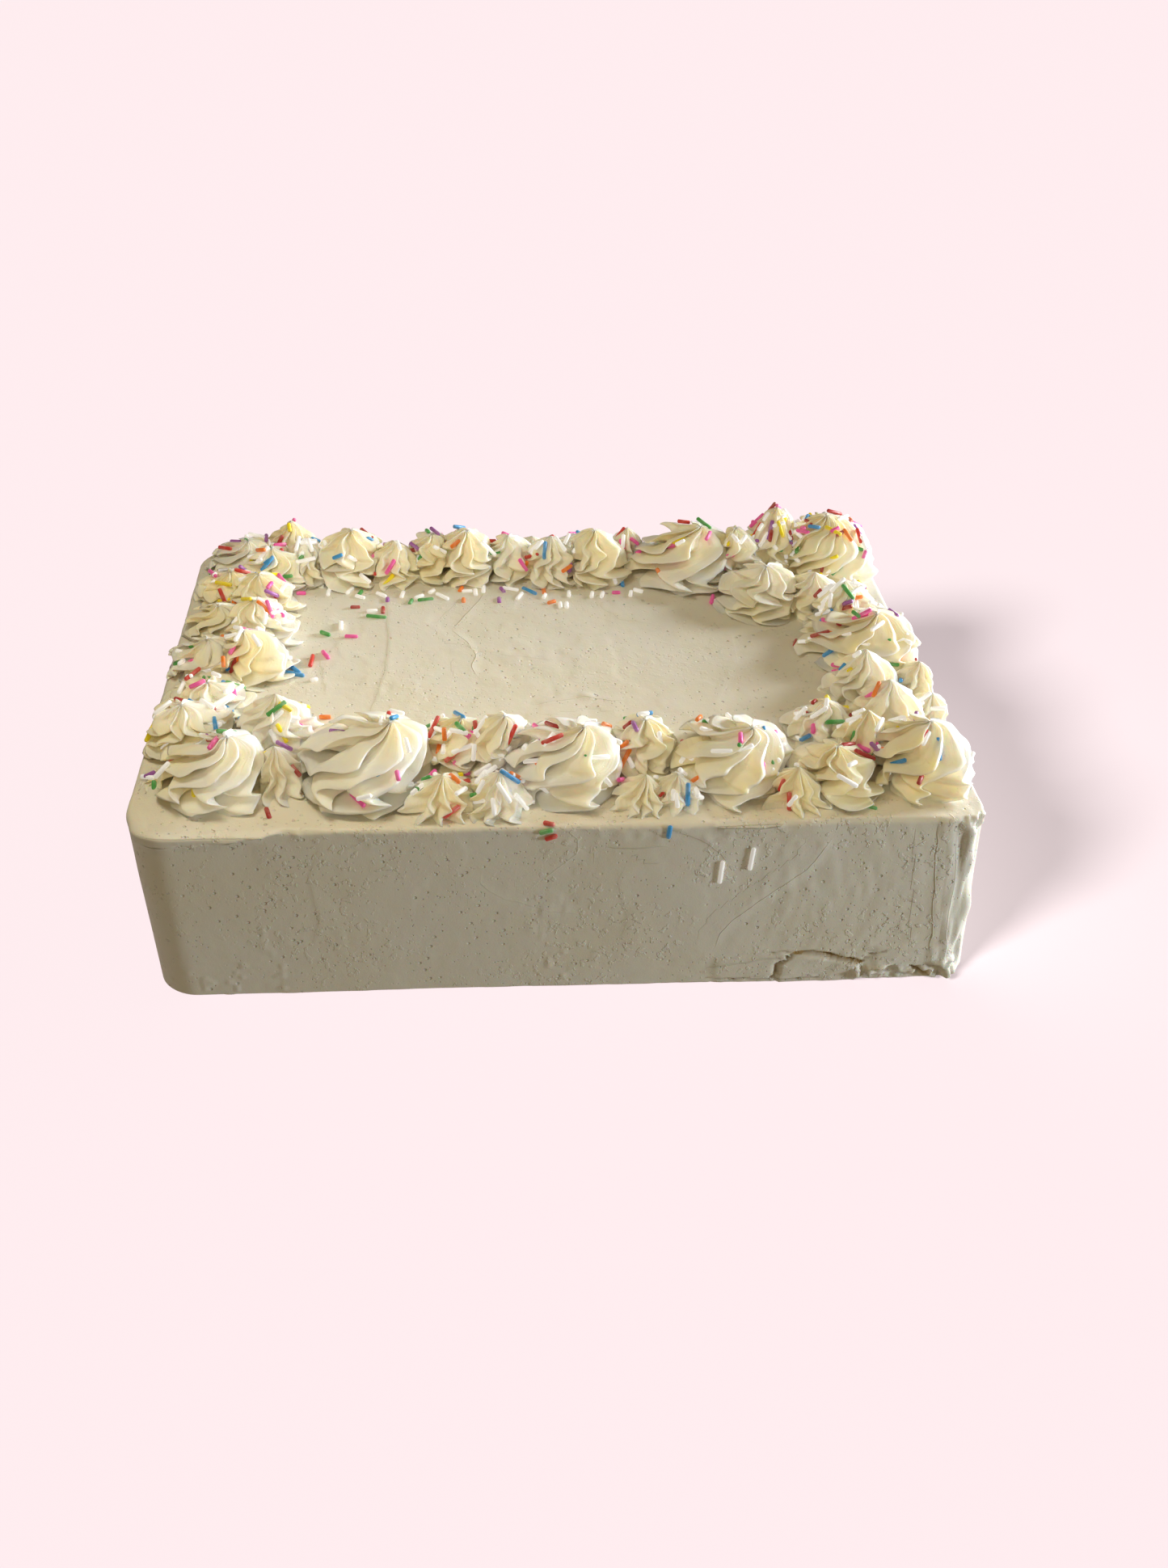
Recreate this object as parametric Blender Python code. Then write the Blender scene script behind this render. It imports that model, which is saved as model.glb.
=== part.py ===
"""An uncut sheet cake, iced smooth, with a border of piped buttercream round its top and rod sprinkles.

Units are metres, +Z is up, and the origin is under the middle of the cake, on the surface that it
stands on. The cake is one solid. Each piped swirl is a solid of its own, pressed against its
neighbours, and the sprinkles are fused to what they lie on.
"""

import math

import bmesh
import bpy
import numpy as np
from mathutils import Matrix, Vector

# The cake's top in plan, going round from front left: each corner and how far it is rounded off.
# It was iced by hand, so it is a little longer in front than behind.
CORNERS = ((-0.1725, -0.1175), (0.1695, -0.1175), (0.1680, 0.1175), (-0.1640, 0.1175))
CORNER_RADII = (0.017, 0.011, 0.012, 0.018)
CORNER_STEPS = 4
SIDE_STEPS = 5
CAKE_HEIGHT = 0.084
TOP_EDGE_RADIUS = 0.0022
LEFT_WALL_LEAN = 0.0050
RIGHT_WALL_LEAN = -0.0040
HALF_LENGTH = 0.170
WALL_WAVE = 0.0005
GAP = 0.0003
SEED = 11

# The crack low on the front wall, near its right end, where the icing split and a slab stands
# proud.
CRACK_START = 0.082
CRACK_END = 0.150
CRACK_HEIGHT = 0.0150
CRACK_DEPTH = 0.0018
SLAB_PROUD = 0.0016
CRACK_STEP = 0.0065

SPRINKLE_RADIUS = 0.00105
SPRINKLE_LENGTHS = (0.0040, 0.0090)
SPRINKLE_SIDES = 5
SPRINKLE_SINK = 0.45
SPRINKLE_CLEARANCE = 0.0006

# The coloured sprinkles that lie loose on the flat of the cake: place, heading in degrees from +X
# and length, in millimetres.
LOOSE_SPRINKLES = [
    (-114, 70, 0, 4.5), (-86, 70, 70, 4.5), (-73, 63, 90, 4.0), (-88, 56, 0, 4.5), (-75, 53, 90, 6.0),
    (-78, 47, -12, 9.5), (-62, 61, 75, 4.5), (-55, 63, 10, 7.5), (-38, 73, 70, 5.0), (-37, 62, 90, 4.0),
    (-18, 72, 110, 5.0), (-20, 62, 90, 5.0), (-5, 71, -45, 9.0), (2, 72, 90, 7.5), (5, 60, 30, 4.5),
    (41, 78, 90, 5.0), (37, 69, 0, 4.0), (83, 62, 75, 8.0), (116, 20, 70, 6.0), (-89, 29, -5, 6.0),
    (-101, 32, -35, 5.5), (-100, 13, 115, 7.0), (-106, 8, 85, 9.5), (-113, -3, -20, 9.5),
    (-98, -38, 0, 5.0), (-117, -106, 105, 7.0), (122, -109, -30, 5.0),
]

# How each kind of swirl is piped. ridges is the number of teeth of the nozzle, columns the mesh
# columns for each ridge and rows the rings from foot to tip. groove is the depth between ridges as
# a share of the radius. twist is the turn from foot to tip and ripple the swing of the ridges near
# the foot, both in degrees. fullness swells the middle, and slope sharpens the tip.
KINDS = {
    "rosette": dict(ridges=7, columns=3, rows=7, groove=0.36, twist=150, ripple=6, fullness=1.5, slope=0.95),
    "ruffle": dict(ridges=8, columns=2, rows=6, groove=0.34, twist=25, ripple=17, fullness=1.25, slope=0.90),
    "peak": dict(ridges=8, columns=2, rows=6, groove=0.36, twist=40, ripple=5, fullness=1.0, slope=1.05),
    "star": dict(ridges=9, columns=2, rows=4, groove=0.38, twist=14, ripple=4, fullness=0.8, slope=1.10),
}

# The piping plan, in millimetres: for each side, the kind of each swirl, its place along the side
# from the middle, its axis in from the side's edge, the radius of its foot, its height, and how far
# its tip leans along X. Front and back are measured along +X, left and right along +Y.
PLAN = {
    "front": [
        ("rosette", -139, 34, 23, 21, 7),
        ("star", -114, 33, 13, 18, -1),
        ("rosette", -80, 37, 28, 25, 11),
        ("star", -50, 17, 16, 14, 1),
        ("star", -27, 17, 15, 15, 0),
        ("ruffle", -42, 51, 15, 17, 0),
        ("ruffle", -25, 47, 16, 21, 2),
        ("rosette", -1, 35, 26, 23, 9),
        ("star", 30, 17, 12, 12, 1),
        ("star", 44, 18, 12, 12, 0),
        ("ruffle", 34, 45, 16, 20, 0),
        ("rosette", 67, 36, 26, 22, 9),
        ("star", 93, 18, 14, 14, 0),
        ("ruffle", 111, 27, 18, 18, 0),
        ("peak", 127, 43, 17, 24, -2),
        ("rosette", 145, 34, 23, 24, 4),
        ("peak", 113, 61, 16, 19, -1),
    ],
    "right": [
        ("peak", -50, 28, 18, 24, -2),
        ("star", -42, 7, 12, 12, 0),
        ("star", -17, 7, 12, 13, 0),
        ("peak", -22, 32, 17, 22, -1),
        ("rosette", 11, 23, 27, 20, 2),
        ("peak", 44, 27, 18, 20, 0),
        ("peak", 57, 40, 17, 18, 1),
        ("ruffle", 62, 62, 20, 18, 0),
        ("rosette", 96, 26, 25, 28, -1),
    ],
    "back": [
        ("peak", 119, 17, 19, 31, 0),
        ("ruffle", 97, 26, 15, 23, 0),
        ("rosette", 72, 23, 26, 23, 8),
        ("star", 46, 9, 11, 16, 0),
        ("star", 19, 8, 12, 12, 0),
        ("ruffle", 27, 26, 16, 22, 0),
        ("star", -2, 7, 11, 10, 0),
        ("peak", 6, 27, 17, 20, 0),
        ("peak", -14, 22, 18, 19, 0),
        ("ruffle", -35, 24, 18, 21, 0),
        ("ruffle", -51, 22, 15, 19, 0),
        ("peak", -70, 27, 16, 18, 0),
        ("ruffle", -91, 24, 19, 21, 0),
        ("peak", -113, 27, 15, 19, 0),
        ("peak", -120, 10, 15, 20, 0),
        ("rosette", -141, 19, 17, 14, 1),
    ],
    "left": [
        ("ruffle", 84, 43, 17, 17, 0),
        ("ruffle", 67, 24, 15, 13, 0),
        ("ruffle", 58, 39, 16, 17, 0),
        ("rosette", 37, 22, 16, 12, 0),
        ("ruffle", 31, 38, 17, 18, 0),
        ("rosette", 6, 19, 17, 12, 0),
        ("rosette", 2, 37, 17, 19, 0),
        ("ruffle", -24, 22, 16, 10, 0),
        ("peak", -52, 52, 17, 21, 1),
        ("ruffle", -51, 18, 18, 15, -3),
        ("star", -84, 9, 8, 6, 0),
    ],
}
MM = 0.001
LARGE_SWIRL = 0.0185
FOOT_BULGE = 0.07
FOOT_BULGE_TOP = 0.3
RIPPLE_TURNS = 1.25
CREST_SOFTNESS = 0.12
GOLDEN_ANGLE = 2.39996

CREAM = (0.87, 0.80, 0.62, 1.0)


def clear_scene():
    for obj in list(bpy.data.objects):
        bpy.data.objects.remove(obj)


def buttercream(name):
    """A soft, warm white, for the icing and for the piping."""
    material = bpy.data.materials.new(name)
    material.use_nodes = True
    shader = material.node_tree.nodes["Principled BSDF"]
    shader.inputs["Base Color"].default_value = CREAM
    shader.inputs["Roughness"].default_value = 0.55
    shader.inputs["Metallic"].default_value = 0.0
    return material


def new_object(name, points, faces, material):
    mesh = bpy.data.meshes.new(name)
    mesh.from_pydata([tuple(map(float, p)) for p in points], [], faces)
    mesh.update()
    mesh.materials.append(material)
    obj = bpy.data.objects.new(name, mesh)
    bpy.context.scene.collection.objects.link(obj)
    return obj


def triangulate(obj):
    """Splits the faces into triangles, so that the solid has the same ones as the mesh."""
    mesh = bmesh.new()
    mesh.from_mesh(obj.data)
    bmesh.ops.triangulate(mesh, faces=mesh.faces)
    mesh.to_mesh(obj.data)
    mesh.free()


def skin_of_rings(rings, ring_size):
    """Quads between rings of points that are stored one after another, going up."""
    faces = []
    for ring in range(rings - 1):
        for i in range(ring_size):
            j = (i + 1) % ring_size
            low, high = ring * ring_size, (ring + 1) * ring_size
            faces.append((low + i, low + j, high + j, high + i))
    return faces


def side_steps(start, end, fine):
    """Places along one straight side, as shares of it, closer together where the crack is."""
    length = (end - start).length
    steps = [step / SIDE_STEPS for step in range(1, SIDE_STEPS)]
    if fine:
        low, high = (abs(x - start.x) / length for x in (CRACK_START, CRACK_END))
        gap = CRACK_STEP / length
        steps = [s for s in steps if not low - gap < s < high + gap]
        steps += list(np.arange(low, high, gap))
    return sorted(steps)


def cake_outline(inset):
    """The plan of the cake, counter-clockwise from the front left corner, drawn in by inset."""
    corners = [Vector(corner) for corner in CORNERS]
    arcs = []
    for i, (corner, radius) in enumerate(zip(corners, CORNER_RADII)):
        before = (corners[i - 1] - corner).normalized()
        after = (corners[(i + 1) % 4] - corner).normalized()
        half = before.angle(after) / 2
        centre = corner + (before + after).normalized() * radius / math.sin(half)
        start, end = Vector((-before.y, before.x)), Vector((after.y, -after.x))
        swept = start.angle(end)
        arc = []
        for step in range(CORNER_STEPS + 1):
            turn = swept * step / CORNER_STEPS
            arc.append(centre + (radius - inset) * (Matrix.Rotation(turn, 2) @ start))
        arcs.append(arc)
    points = []
    for i, arc in enumerate(arcs):
        points += arc
        start, end = arc[-1], arcs[(i + 1) % 4][0]
        points += [start.lerp(end, step) for step in side_steps(start, end, i == 0)]
    return points


def crack_relief(x, z):
    """How far the front wall steps out, in metres: a slab below the crack, and the crack itself."""
    if not CRACK_START <= x <= CRACK_END:
        return 0.0
    along = (x - CRACK_START) / (CRACK_END - CRACK_START)
    height = CRACK_HEIGHT - 0.006 * along + 0.0012 * math.sin(9 * along)
    swell = math.sin(math.pi * along) ** 0.5
    if abs(z - height) < 0.0016:
        return -CRACK_DEPTH * swell
    if z < height:
        return SLAB_PROUD * swell * (0.6 + 0.4 * math.sin(23 * along))
    return 0.0


def cake_levels():
    """Heights and insets of the rings, from the underside up and over the rounded top edge."""
    levels = [(0.0, 0.0), (0.004, 0.0), (0.0085, 0.0), (0.0125, 0.0), (0.0165, 0.0), (0.045, 0.0)]
    for step in range(4):
        angle = math.radians(90 * step / 3)
        levels.append(
            (
                CAKE_HEIGHT - TOP_EDGE_RADIUS * (1 - math.sin(angle)),
                TOP_EDGE_RADIUS * (1 - math.cos(angle)),
            )
        )
    return levels


def cake_point(flat, z):
    """A point of the wall: leaning sides, a hand-smoothed wave, and the crack on the front."""
    x, y = flat
    drop = 1 - z / CAKE_HEIGHT
    lean = LEFT_WALL_LEAN if x < 0 else RIGHT_WALL_LEAN
    x -= x / CORNERS[1][0] * lean * drop
    wave = WALL_WAVE * math.sin(math.pi * z / CAKE_HEIGHT)
    y += wave * math.sin(31 * x + 1.3) * (1 if y < 0 else -1)
    x += wave * math.sin(37 * y + 0.4)
    if y < CORNERS[0][1] + TOP_EDGE_RADIUS:
        y -= crack_relief(x, z)
    return (x, y, z)


def make_cake(material):
    """The iced cake: rings of its plan, closed with one flat face below and one above."""
    levels = cake_levels()
    points = [cake_point(p, z) for z, inset in levels for p in cake_outline(inset)]
    size = len(points) // len(levels)
    faces = skin_of_rings(len(levels), size)
    faces.append(tuple(reversed(range(size))))
    faces.append(tuple((len(levels) - 1) * size + i for i in range(size)))
    cake = new_object("cake", points, faces, material)
    triangulate(cake)
    return cake


def place_on_side(side, along, inward):
    """(x, y) on the cake's top, from a place along a side and a distance in from its edge."""
    x, y = HALF_LENGTH, CORNERS[2][1]
    return {
        "front": (along, inward - y),
        "back": (along, y - inward),
        "left": (inward - x, along),
        "right": (x - inward, along),
    }[side]


def read_plan():
    """The swirls as dictionaries, each with its name, its place and its sizes in metres."""
    swirls = []
    for side, row in PLAN.items():
        for kind, along, inward, radius, height, lean in row:
            number = sum(s["side"] == side and s["kind"] == kind for s in swirls) + 1
            swirls.append(
                dict(
                    KINDS[kind],
                    kind=kind,
                    side=side,
                    name=f"{kind}_{side}_{number}",
                    axis=np.array(place_on_side(side, along * MM, inward * MM)),
                    radius=radius * MM,
                    height=height * MM,
                    lean=lean * MM,
                    phase=GOLDEN_ANGLE * len(swirls),
                )
            )
    return swirls


def walls_between(swirl, swirls):
    """The upright planes that a swirl is pressed against, as (direction, distance from its axis).

    Two swirls meet where their circles would cross, so a wide one pushes further into a small one.
    """
    walls = []
    for other in swirls:
        apart = other["axis"] - swirl["axis"]
        distance = float(np.linalg.norm(apart))
        if other is swirl or distance > swirl["radius"] + other["radius"] + SPRINKLE_CLEARANCE:
            continue
        reach = (distance**2 + swirl["radius"] ** 2 - other["radius"] ** 2) / (2 * distance)
        walls.append((apart / distance, reach - GAP / 2))
    return walls


def swirl_surface(swirl, around, up, walls):
    """Points of a swirl at angles around and heights up, both arrays, up running from 0 to 1.

    The radius falls from foot to tip with a swelling above the foot, and is cut in by the grooves
    between ridges. Each ridge turns with height by the twist and swings to and fro by the ripple.
    Where a neighbour is nearer than the radius, the surface stops at the plane between them.
    """
    slope, full = swirl["slope"], swirl["fullness"]
    outline = (1 - up) ** slope * (1 + full * up)
    outline = outline * (1 + FOOT_BULGE * np.sin(math.pi * np.clip(up / FOOT_BULGE_TOP, 0, 1)))
    across = np.sin(swirl["ridges"] * around / 2)
    crest = 1 - np.sqrt(across**2 + CREST_SOFTNESS**2) / math.sqrt(1 + CREST_SOFTNESS**2)
    radius = swirl["radius"] * outline * (1 - swirl["groove"] * (1 - crest))
    swing = math.radians(swirl["ripple"]) * (1 - up) ** 1.5
    turn = math.radians(swirl["twist"]) * up
    turn = turn + swing * np.sin(2 * math.pi * RIPPLE_TURNS * up + swirl["phase"])
    angle = around + turn + swirl["phase"]
    direction = np.stack([np.cos(angle), np.sin(angle)], -1)
    lean = np.array([swirl["lean"], 0.0]) * (up**2)[..., None]
    for normal, reach in walls:
        room = reach - lean @ normal
        heading = direction @ normal
        limit = np.where(heading > 1e-6, room / np.maximum(heading, 1e-6), np.inf)
        radius = np.minimum(radius, limit)
    flat = swirl["axis"] + lean + radius[..., None] * direction
    height = CAKE_HEIGHT + GAP + swirl["height"] * up
    return np.concatenate([flat, height[..., None]], -1)


def make_swirl(swirl, walls, material):
    """The swirl's solid: rings of points that follow its ridges, with a tip and a flat foot."""
    ring_size = swirl["ridges"] * swirl["columns"]
    around = np.arange(ring_size) * 2 * math.pi / ring_size
    rows = swirl["rows"]
    up = (np.arange(rows) / rows) ** 0.9
    grid_around, grid_up = np.meshgrid(around, up)
    points = swirl_surface(swirl, grid_around, grid_up, walls).reshape(-1, 3)
    tip = (*(swirl["axis"] + (swirl["lean"], 0.0)), CAKE_HEIGHT + GAP + swirl["height"])
    faces = skin_of_rings(rows, ring_size)
    last = (rows - 1) * ring_size
    faces += [(last + i, last + (i + 1) % ring_size, len(points)) for i in range(ring_size)]
    faces.append(tuple(reversed(range(ring_size))))
    swirl_object = new_object(swirl["name"], [*points, tip], faces, material)
    triangulate(swirl_object)
    swirl_object.data.shade_smooth()
    return swirl_object


def make_rod(centre, along, normal, length, material):
    """One rod sprinkle: a prism of few sides, lying along a direction with part of it sunk."""
    mesh = bpy.data.meshes.new("rod")
    shape = bmesh.new()
    bmesh.ops.create_cone(
        shape,
        cap_ends=True,
        segments=SPRINKLE_SIDES,
        radius1=SPRINKLE_RADIUS,
        radius2=SPRINKLE_RADIUS,
        depth=length,
    )
    across = normal.cross(along).normalized()
    turn = Matrix((across, normal, along)).transposed().to_4x4()
    bmesh.ops.transform(shape, matrix=Matrix.Translation(centre) @ turn, verts=shape.verts)
    shape.to_mesh(mesh)
    shape.free()
    mesh.materials.append(material)
    return bpy.data.objects.new("rod", mesh)


def fuse(obj, rods):
    """Joins the sprinkles to what they lie on, so that the two are one closed solid."""
    if not rods:
        return
    heap = bpy.data.collections.new("rods")
    bpy.context.scene.collection.children.link(heap)
    for rod in rods:
        heap.objects.link(rod)
    union = obj.modifiers.new("sprinkles", "BOOLEAN")
    union.operation = "UNION"
    union.operand_type = "COLLECTION"
    union.collection = heap
    union.solver = "EXACT"
    graph = bpy.context.evaluated_depsgraph_get()
    joined = bpy.data.meshes.new_from_object(obj.evaluated_get(graph))
    obj.modifiers.clear()
    obj.data = joined
    obj.data.name = obj.name
    for rod in list(heap.objects):
        bpy.data.objects.remove(rod)
    bpy.data.collections.remove(heap)


def rod_on_swirl(swirl, walls, random, material):
    """A sprinkle on a free part of a swirl, or None where a neighbour is too near."""
    around, up = random.uniform(0, 2 * math.pi), random.uniform(0.30, 0.72)
    step = 0.02
    sample = swirl_surface(
        swirl,
        np.array([around, around + step, around]),
        np.array([up, up, up + step]),
        walls,
    )
    centre, beside, above = (Vector(p) for p in sample)
    normal = (beside - centre).cross(above - centre).normalized()
    if normal.z < 0.15:
        return None
    heading = random.uniform(0, math.pi)
    level = normal.orthogonal().normalized()
    along = Matrix.Rotation(heading, 3, normal) @ level
    length = random.uniform(*SPRINKLE_LENGTHS)
    centre -= normal * SPRINKLE_RADIUS * SPRINKLE_SINK
    ends = [np.array(centre + along * s * length / 2) for s in (-1, 1)]
    keep = SPRINKLE_RADIUS + SPRINKLE_CLEARANCE
    if min(end[2] for end in ends) < CAKE_HEIGHT + keep:
        return None
    for direction, reach in walls:
        if any((end[:2] - swirl["axis"]) @ direction > reach - keep for end in ends):
            return None
    return make_rod(centre, along, normal, length, material)


def rods_for_swirl(swirl, walls, random, material):
    """One sprinkle on a small swirl and more on a large one."""
    wanted = 1 + int(swirl["radius"] > LARGE_SWIRL) + int(swirl["kind"] == "rosette")
    rods = []
    for _ in range(30):
        if len(rods) == wanted:
            break
        rod = rod_on_swirl(swirl, walls, random, material)
        if rod is not None:
            rods.append(rod)
    return rods


def rods_for_cake(swirls, material):
    """The loose sprinkles, but for any that would touch the foot of a swirl."""
    rods = []
    for x, y, heading, length in LOOSE_SPRINKLES:
        place, length = np.array((x * MM, y * MM)), length * MM
        reach = length / 2 + SPRINKLE_CLEARANCE
        if any(np.linalg.norm(place - s["axis"]) < s["radius"] * (1 + FOOT_BULGE) + reach for s in swirls):
            continue
        angle = math.radians(heading)
        along = Vector((math.cos(angle), math.sin(angle), 0))
        height = CAKE_HEIGHT + SPRINKLE_RADIUS * (1 - SPRINKLE_SINK)
        rods.append(make_rod(Vector((*place, height)), along, Vector((0, 0, 1)), length, material))
    return rods


def main():
    clear_scene()
    icing, piping = buttercream("icing"), buttercream("piping")
    random = np.random.default_rng(SEED)
    swirls = read_plan()
    cake = make_cake(icing)
    fuse(cake, rods_for_cake(swirls, icing))
    for swirl in swirls:
        walls = walls_between(swirl, swirls)
        obj = make_swirl(swirl, walls, piping)
        fuse(obj, rods_for_swirl(swirl, walls, random, piping))


main()
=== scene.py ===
"""A white buttercream sheet cake with a piped border and rod sprinkles, on a pale studio floor."""

import math

import bpy
import numpy as np
from mathutils import Matrix, Vector


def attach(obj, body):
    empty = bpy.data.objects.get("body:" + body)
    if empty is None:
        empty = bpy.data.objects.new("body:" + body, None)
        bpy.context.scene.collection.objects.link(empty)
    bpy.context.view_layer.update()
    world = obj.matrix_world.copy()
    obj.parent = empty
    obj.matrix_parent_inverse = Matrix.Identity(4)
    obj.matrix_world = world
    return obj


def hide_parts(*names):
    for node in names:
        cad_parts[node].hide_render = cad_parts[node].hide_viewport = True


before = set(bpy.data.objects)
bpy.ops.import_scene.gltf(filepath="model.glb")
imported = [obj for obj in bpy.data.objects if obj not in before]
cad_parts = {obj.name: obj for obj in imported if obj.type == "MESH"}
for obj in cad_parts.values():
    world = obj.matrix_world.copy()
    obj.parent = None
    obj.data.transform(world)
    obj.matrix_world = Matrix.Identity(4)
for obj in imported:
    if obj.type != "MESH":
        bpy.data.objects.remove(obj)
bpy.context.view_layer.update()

# The camera stands in front of the cake, a little left of its middle, and looks down on it from
# standing height. It is turned a few degrees to the right and tipped slightly.
YAW, PITCH, ROLL = math.radians(6.476), math.radians(35.469), math.radians(2.860)
ahead = Vector((math.sin(YAW) * math.cos(PITCH), math.cos(YAW) * math.cos(PITCH), -math.sin(PITCH)))
level = Vector((math.cos(YAW), -math.sin(YAW), 0))
upward = level.cross(ahead)
camera_x = math.cos(ROLL) * level + math.sin(ROLL) * upward
camera_y = math.cos(ROLL) * upward - math.sin(ROLL) * level
camera_data = bpy.data.cameras.new("camera")
camera_data.sensor_width = 36
camera_data.lens = 37.485
camera = bpy.data.objects.new("camera", camera_data)
turn = Matrix((camera_x, camera_y, -ahead)).transposed().to_4x4()
camera.matrix_world = Matrix.Translation((-0.05268, -0.62403, 0.46763)) @ turn
bpy.context.scene.collection.objects.link(camera)
bpy.context.scene.camera = camera


# The studio: a pale pink floor that runs out of sight, daylight from a window at the right and a
# little behind the cake, a weaker one that rakes its front, a warm lamp close above the left, a
# strip of warm light over the front ledge, a warm dim room round it, a warm glow from the front
# on the piping alone, and a sun on the floor alone, which draws the cake's shadow.
def area_light(name, place, aim, size, power, colour, lights=None, depth=None):
    """A soft light at a place, turned to shine at a point: a square, or a strip when it has a depth."""
    data = bpy.data.lights.new(name, "AREA")
    data.size = size
    if depth:
        data.shape = "RECTANGLE"
        data.size_y = depth
    data.energy = power
    data.color = colour
    light = bpy.data.objects.new(name, data)
    light.location = place
    light.rotation_euler = (Vector(aim) - Vector(place)).to_track_quat("-Z", "Y").to_euler()
    light.light_linking.receiver_collection = lights
    light.visible_camera = False
    bpy.context.scene.collection.objects.link(light)


def link_object(name, data):
    obj = bpy.data.objects.new(name, data)
    bpy.context.scene.collection.objects.link(obj)
    return obj


floor_mesh = bpy.data.meshes.new("floor")
floor_mesh.from_pydata([(-9, -9, 0), (9, -9, 0), (9, 9, 0), (-9, 9, 0)], [], [(0, 1, 2, 3)])
floor = link_object("floor", floor_mesh)
floor_finish = bpy.data.materials.new("floor_paper")
floor_finish.use_nodes = True
floor_shader = floor_finish.node_tree.nodes["Principled BSDF"]
floor_shader.inputs["Base Color"].default_value = (0.40, 0.345, 0.355, 1)
floor_shader.inputs["Roughness"].default_value = 0.9
floor_shader.inputs["Specular IOR Level"].default_value = 0.0
floor_shader.inputs["Emission Color"].default_value = (1.0, 0.865, 0.93, 1)
floor_shader.inputs["Emission Strength"].default_value = 0.48
floor_mesh.materials.append(floor_finish)
floor.visible_diffuse = False

only_floor = bpy.data.collections.new("only_floor")
only_floor.objects.link(floor)
floor.light_linking.receiver_collection = only_floor
not_floor = bpy.data.collections.new("not_floor")
not_floor.objects.link(floor)
not_floor.collection_objects[0].light_linking.link_state = "EXCLUDE"

area_light("window", (1.25, 0.42, 0.40), (0, 0, 0.09), 0.45, 28.5, (0.91, 0.94, 1.0), not_floor)
area_light("side_fill", (1.15, -0.52, 0.15), (0, 0, 0.05), 0.18, 6.8, (0.84, 0.93, 1.0), not_floor)
area_light("lamp", (-0.16, -0.05, 0.43), (-0.16, -0.04, 0.08), 0.15, 0.44, (1.0, 0.92, 0.72), not_floor)
only_icing = bpy.data.collections.new("only_icing")
area_light("strip", (0, -0.114, 0.20), (0, -0.114, 0), 0.36, 0.049, (1.0, 0.73, 0.38), only_icing, 0.02)
only_piping = bpy.data.collections.new("only_piping")
area_light("glow", (-0.35, -0.95, 0.75), (0, 0, 0.1), 0.9, 3.4, (1.0, 0.82, 0.55), only_piping)

sun_data = bpy.data.lights.new("floor_light", "SUN")
sun_data.energy = 6.0
sun_data.angle = math.radians(16)
sun = link_object("floor_light", sun_data)
sun.rotation_euler = (-Vector((-0.8, -0.6, 0.68))).to_track_quat("-Z", "Y").to_euler()
sun.light_linking.receiver_collection = only_floor

world = bpy.data.worlds.new("room")
world.use_nodes = True
world.node_tree.nodes["Background"].inputs["Color"].default_value = (1.0, 0.81, 0.52, 1)
world.node_tree.nodes["Background"].inputs["Strength"].default_value = 0.225
bpy.context.scene.world = world
bpy.context.scene.view_settings.view_transform = "Standard"


# The cake: one slab under a coat of buttercream, spread smooth with a spatula.
# Its skin climbs the wall ring by ring and rolls over the top edge; the top is a patch between the
# four sides of the last ring. The spatula's ridges, the crack and the crumbs are raised on it.
MM = 0.001
# The corners of the cake's plan, counter-clockwise from the front left, and their radii.
CORNERS = ((-0.1725, -0.1175), (0.1695, -0.1175), (0.1680, 0.1175), (-0.1640, 0.1175))
CORNER_RADII = (0.017, 0.011, 0.012, 0.018)
CAKE_HEIGHT = 0.084
TOP_EDGE_RADIUS = 0.0022
# How far the foot of each wall stands in from its top, or out where it is below 0.
LEFT_WALL_LEAN = 0.0050
RIGHT_WALL_LEAN = -0.0040
# What lies no deeper than this behind the front wall counts as its skin.
FRONT_SKIN = CORNERS[0][1] + 0.006
LONG_COLUMNS, SHORT_COLUMNS, CORNER_COLUMNS = 290, 116, 8
WALL_ROWS, EDGE_ROWS = 66, 6
# Shares of the wall's rings, and the heights at which they stand.
WALL_SPACING = (0, 0.44, 0.84, 1), (0.0010, 0.0200, 0.0735, CAKE_HEIGHT - TOP_EDGE_RADIUS)
# The left half of a long side has 60 percent of its columns.
LEFT_PART, LEFT_SHARE = 0.50, 0.6

# Ridges and edges that the spatula left, as paths on the front wall (along X and up, in mm) and on
# the top (along X and Y, in mm), each with the height of its bead, the step to its left side as it
# runs, and the width of the bead, in mm. The mesh has half of the bead's height, and the surface
# draws its fine edge.
FRONT_STROKES = [
    ([(106.5, 77), (97.7, 60), (79.5, 44), (68.8, 33.6), (64.5, 27), (63, 19)], 0.30, -0.35, 0.8),
    ([(-2, 83), (3, 77), (4, 71), (-4, 63), (-12, 55)], 0.14, -0.20, 1.0),
    ([(41, 82), (52, 76.8), (61, 70), (66, 62)], 0.16, 0.22, 1.0),
    ([(-34, 64), (-35, 56), (-25, 48), (-6, 41), (14, 38)], 0.10, -0.22, 1.0),
    ([(15, 73.6), (27, 73.0), (39, 73.4)], 0.40, -0.30, 1.1),
    ([(60, 8), (72, 10.6), (84, 12.8), (97, 14.2)], 0.50, -0.25, 0.9),
    ([(-96, 80), (-102, 62), (-99, 40), (-104, 22)], 0.03, 0.16, 1.0),
    ([(24, 66), (20, 56), (23, 46), (26, 36), (22, 24)], 0.04, 0.20, 1.0),
    ([(148.2, 83), (149.2, 68), (151.5, 50), (154.1, 30), (155.5, 14)], 0.40, -0.30, 0.8),
    ([(163, 9), (161, 28), (160, 55), (156.9, 76)], 0.40, 0.20, 0.8),
    ([(-118, 82.6), (-134, 80.6), (-150, 78.8), (-166, 76.5)], 1.6, -0.40, 0.9),
    ([(86, 82.4), (72, 81.4), (58, 82.6)], 1.2, -0.30, 0.9),
]
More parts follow.
